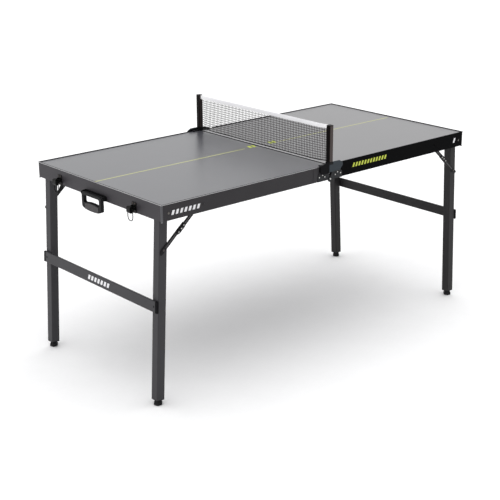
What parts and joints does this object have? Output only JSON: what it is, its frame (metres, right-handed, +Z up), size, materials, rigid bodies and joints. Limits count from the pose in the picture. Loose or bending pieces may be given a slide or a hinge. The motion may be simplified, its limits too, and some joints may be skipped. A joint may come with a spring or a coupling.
{
  "type": "ping pong table",
  "caption": "Folding ping pong table with two framed half tops, folding braced leg frames, a lift-off net on posts, draw latches and a carry handle.",
  "frame": {"origin": "on the floor, under the middle of the net", "axes": "+X along the table to the half without the handle, +Y across it to the far side, +Z up, out of the playing surface"},
  "size_m": [1.6616, 0.805, 0.91],
  "materials": {
    "board": "satin",
    "apron_left": "satin",
    "apron_right": "satin",
    "corner_plastic": "matte",
    "hinge_steel": "satin",
    "bright_steel": "satin",
    "leg_steel": "satin",
    "brace_steel": "satin",
    "latch_steel": "satin",
    "bail_wire": "satin",
    "black_plastic": "matte",
    "foot_rubber": "matte",
    "net_fabric": "matte"
  },
  "bodies": {
    "left_half": {"top_panel_left": "board", "side_rail_near_left": "apron_left", "side_rail_far_left": "apron_left", "end_rail_left": "apron_left", "middle_rail_left": "apron_left", "corner_near_left": "corner_plastic", "corner_far_left": "corner_plastic", "hinge_leaf_near_left": "hinge_steel", "hinge_leaf_far_left": "hinge_steel", "leg_bolt_near_left": "bright_steel", "leg_bolt_far_left": "bright_steel", "handle_mount_near": "black_plastic", "handle_mount_far": "black_plastic", "latch_base_near": "latch_steel", "latch_base_far": "latch_steel"},
    "right_half": {"top_panel_right": "board", "side_rail_near_right": "apron_right", "side_rail_far_right": "apron_right", "end_rail_right": "apron_right", "middle_rail_right": "apron_right", "corner_near_right": "corner_plastic", "corner_far_right": "corner_plastic", "hinge_leaf_near_right": "hinge_steel", "hinge_leaf_far_right": "hinge_steel", "leg_bolt_near_right": "bright_steel", "leg_bolt_far_right": "bright_steel", "latch_strike_near": "latch_steel", "latch_strike_far": "latch_steel"},
    "leg_frame_left": {"leg_near_left": "leg_steel", "leg_far_left": "leg_steel", "crossbar_left": "leg_steel", "leg_plug_near_left": "black_plastic", "leg_plug_far_left": "black_plastic"},
    "foot_near_left": {"foot_near_left": "foot_rubber"},
    "foot_far_left": {"foot_far_left": "foot_rubber"},
    "brace_upper_near_left": {"brace_upper_near_left": "brace_steel"},
    "brace_upper_far_left": {"brace_upper_far_left": "brace_steel"},
    "brace_lower_near_left": {"brace_lower_near_left": "brace_steel"},
    "brace_lower_far_left": {"brace_lower_far_left": "brace_steel"},
    "leg_frame_right": {"leg_near_right": "leg_steel", "leg_far_right": "leg_steel", "crossbar_right": "leg_steel", "leg_plug_near_right": "black_plastic", "leg_plug_far_right": "black_plastic"},
    "foot_near_right": {"foot_near_right": "foot_rubber"},
    "foot_far_right": {"foot_far_right": "foot_rubber"},
    "brace_upper_near_right": {"brace_upper_near_right": "brace_steel"},
    "brace_upper_far_right": {"brace_upper_far_right": "brace_steel"},
    "brace_lower_near_right": {"brace_lower_near_right": "brace_steel"},
    "brace_lower_far_right": {"brace_lower_far_right": "brace_steel"},
    "carry_handle": {"carry_handle": "black_plastic"},
    "latch_lever_near": {"latch_lever_near": "latch_steel"},
    "latch_lever_far": {"latch_lever_far": "latch_steel"},
    "latch_bail_near": {"latch_bail_near": "bail_wire"},
    "latch_bail_far": {"latch_bail_far": "bail_wire"},
    "net_set": {"net": "net_fabric", "net_post_near": "black_plastic", "net_post_far": "black_plastic", "net_bracket_near": "black_plastic", "net_bracket_far": "black_plastic"}
  },
  "joints": [
    {"name": "table_fold", "type": "hinge", "parent": "left_half", "child": "right_half", "pos_m": [0, 0, 0.6985], "axis": [0, 1, 0], "range_deg": [0, 90]},
    {"name": "leg_fold_left", "type": "hinge", "parent": "left_half", "child": "leg_frame_left", "pos_m": [-0.7735, 0, 0.725], "axis": [0, -1, 0], "range_deg": [0, 93.16]},
    {"name": "leg_fold_right", "type": "hinge", "parent": "right_half", "child": "leg_frame_right", "pos_m": [0.7735, 0, 0.725], "axis": [0, 1, 0], "range_deg": [0, 93.16]},
    {"name": "brace_upper_turn_near_left", "type": "hinge", "parent": "left_half", "child": "brace_upper_near_left", "pos_m": [-0.62, -0.37295, 0.727], "axis": [0, 1, 0], "range_deg": [0, 40.49]},
    {"name": "brace_lower_turn_near_left", "type": "hinge", "parent": "leg_frame_left", "child": "brace_lower_near_left", "pos_m": [-0.78112, -0.36835, 0.58701], "axis": [0, -1, 0], "range_deg": [0, 45.31]},
    {"name": "brace_upper_turn_far_left", "type": "hinge", "parent": "left_half", "child": "brace_upper_far_left", "pos_m": [-0.62, 0.37295, 0.727], "axis": [0, 1, 0], "range_deg": [0, 40.49]},
    {"name": "brace_lower_turn_far_left", "type": "hinge", "parent": "leg_frame_left", "child": "brace_lower_far_left", "pos_m": [-0.78112, 0.36835, 0.58701], "axis": [0, -1, 0], "range_deg": [0, 45.31]},
    {"name": "brace_upper_turn_near_right", "type": "hinge", "parent": "right_half", "child": "brace_upper_near_right", "pos_m": [0.62, -0.37295, 0.727], "axis": [0, -1, 0], "range_deg": [0, 40.49]},
    {"name": "brace_lower_turn_near_right", "type": "hinge", "parent": "leg_frame_right", "child": "brace_lower_near_right", "pos_m": [0.78112, -0.36835, 0.58701], "axis": [0, 1, 0], "range_deg": [0, 45.31]},
    {"name": "brace_upper_turn_far_right", "type": "hinge", "parent": "right_half", "child": "brace_upper_far_right", "pos_m": [0.62, 0.37295, 0.727], "axis": [0, -1, 0], "range_deg": [0, 40.49]},
    {"name": "brace_lower_turn_far_right", "type": "hinge", "parent": "leg_frame_right", "child": "brace_lower_far_right", "pos_m": [0.78112, 0.36835, 0.58701], "axis": [0, 1, 0], "range_deg": [0, 45.31]},
    {"name": "foot_turn_near_left", "type": "hinge", "parent": "leg_frame_left", "child": "foot_near_left", "pos_m": [-0.8122, -0.34925, 0.01], "axis": [0, 0, 1], "continuous": true},
    {"name": "foot_turn_far_left", "type": "hinge", "parent": "leg_frame_left", "child": "foot_far_left", "pos_m": [-0.8122, 0.34925, 0.01], "axis": [0, 0, 1], "continuous": true},
    {"name": "foot_turn_near_right", "type": "hinge", "parent": "leg_frame_right", "child": "foot_near_right", "pos_m": [0.8122, -0.34925, 0.01], "axis": [0, 0, 1], "continuous": true},
    {"name": "foot_turn_far_right", "type": "hinge", "parent": "leg_frame_right", "child": "foot_far_right", "pos_m": [0.8122, 0.34925, 0.01], "axis": [0, 0, 1], "continuous": true},
    {"name": "handle_swing", "type": "hinge", "parent": "left_half", "child": "carry_handle", "pos_m": [-0.819, 0, 0.71], "axis": [0, 1, 0], "range_deg": [0, 100]},
    {"name": "latch_lever_turn_near", "type": "hinge", "parent": "left_half", "child": "latch_lever_near", "pos_m": [-0.8135, -0.238, 0.717], "axis": [0, 1, 0], "range_deg": [0, 80]},
    {"name": "bail_turn_near", "type": "hinge", "parent": "latch_lever_near", "child": "latch_bail_near", "pos_m": [-0.8225, -0.238, 0.715], "axis": [0, 1, 0], "range_deg": [-5, 90]},
    {"name": "latch_lever_turn_far", "type": "hinge", "parent": "left_half", "child": "latch_lever_far", "pos_m": [-0.8135, 0.238, 0.717], "axis": [0, 1, 0], "range_deg": [0, 80]},
    {"name": "bail_turn_far", "type": "hinge", "parent": "latch_lever_far", "child": "latch_bail_far", "pos_m": [-0.8225, 0.238, 0.715], "axis": [0, 1, 0], "range_deg": [-5, 90]},
    {"name": "net_lift", "type": "slide", "parent": "left_half", "child": "net_set", "axis": [0, 0, 1], "range_m": [0, 0.12]}
  ],
  "couplings": [
    {"joint": "brace_upper_turn_near_left", "follows": "leg_fold_left", "ratio": 0.4344},
    {"joint": "brace_lower_turn_near_left", "follows": "leg_fold_left", "ratio": 0.4862},
    {"joint": "brace_upper_turn_far_left", "follows": "leg_fold_left", "ratio": 0.4344},
    {"joint": "brace_lower_turn_far_left", "follows": "leg_fold_left", "ratio": 0.4862},
    {"joint": "brace_upper_turn_near_right", "follows": "leg_fold_right", "ratio": 0.4344},
    {"joint": "brace_lower_turn_near_right", "follows": "leg_fold_right", "ratio": 0.4862},
    {"joint": "brace_upper_turn_far_right", "follows": "leg_fold_right", "ratio": 0.4344},
    {"joint": "brace_lower_turn_far_right", "follows": "leg_fold_right", "ratio": 0.4862}
  ]
}
